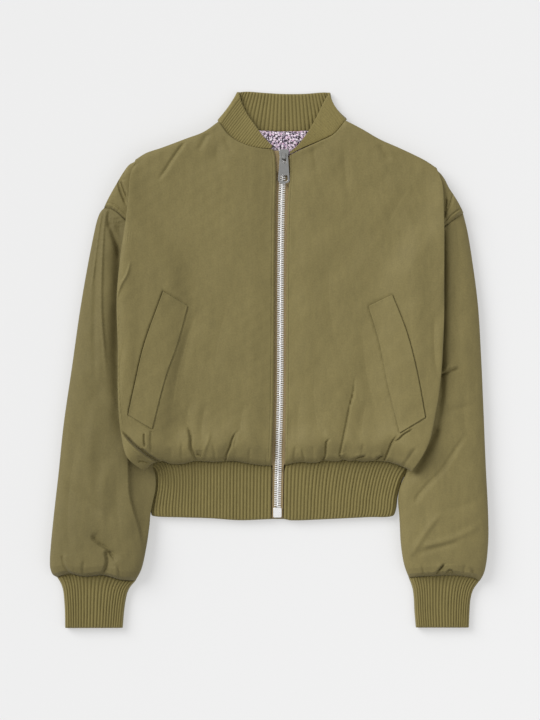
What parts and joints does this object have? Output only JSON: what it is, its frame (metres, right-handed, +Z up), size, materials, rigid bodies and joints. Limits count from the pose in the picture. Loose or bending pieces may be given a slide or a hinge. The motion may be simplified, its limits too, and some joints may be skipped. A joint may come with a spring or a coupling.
{
  "type": "bomber jacket",
  "caption": "Cropped padded bomber jacket lying flat, zipped front, ribbed collar, cuffs and hem, slanted welt pockets and dropped shoulders.",
  "frame": {"origin": "middle of the jacket's footprint, on the surface it lies on", "axes": "+Z up from the surface, +Y from the hem to the collar, +X to the viewer's right with the front up"},
  "size_m": [0.5909, 0.726, 0.043],
  "materials": {
    "shell_cloth": "fine olive twill with a faint sheen",
    "rib_knit": "matt ribbed knit, olive",
    "lining": "smooth dark plum lining with a small flower pattern",
    "zip_tape": "woven tape, olive",
    "zip_metal": "polished silver-coloured metal",
    "tab_metal": "satin grey metal"
  },
  "bodies": {
    "jacket": {"back": "shell_cloth", "sleeve_left": "shell_cloth", "sleeve_right": "shell_cloth", "cuff_left": "rib_knit", "cuff_right": "rib_knit", "hem_band": "rib_knit", "collar": "rib_knit", "lining_back": "lining", "zip_tape_left": "zip_tape", "zip_tape_right": "zip_tape", "zip_chain": "zip_metal", "front_left": "shell_cloth", "front_right": "shell_cloth", "welt_left": "shell_cloth", "welt_right": "shell_cloth", "zip_stop": "zip_metal", "zip_slider": "zip_metal"},
    "pull_tab": {"pull_tab": "tab_metal"}
  },
  "joints": [
    {"name": "tab_hinge", "type": "hinge", "parent": "jacket", "child": "pull_tab", "pos_m": [0.018, 0.2716, 0.0219], "axis": [-1, 0, 0], "range_deg": [0, 160]}
  ]
}
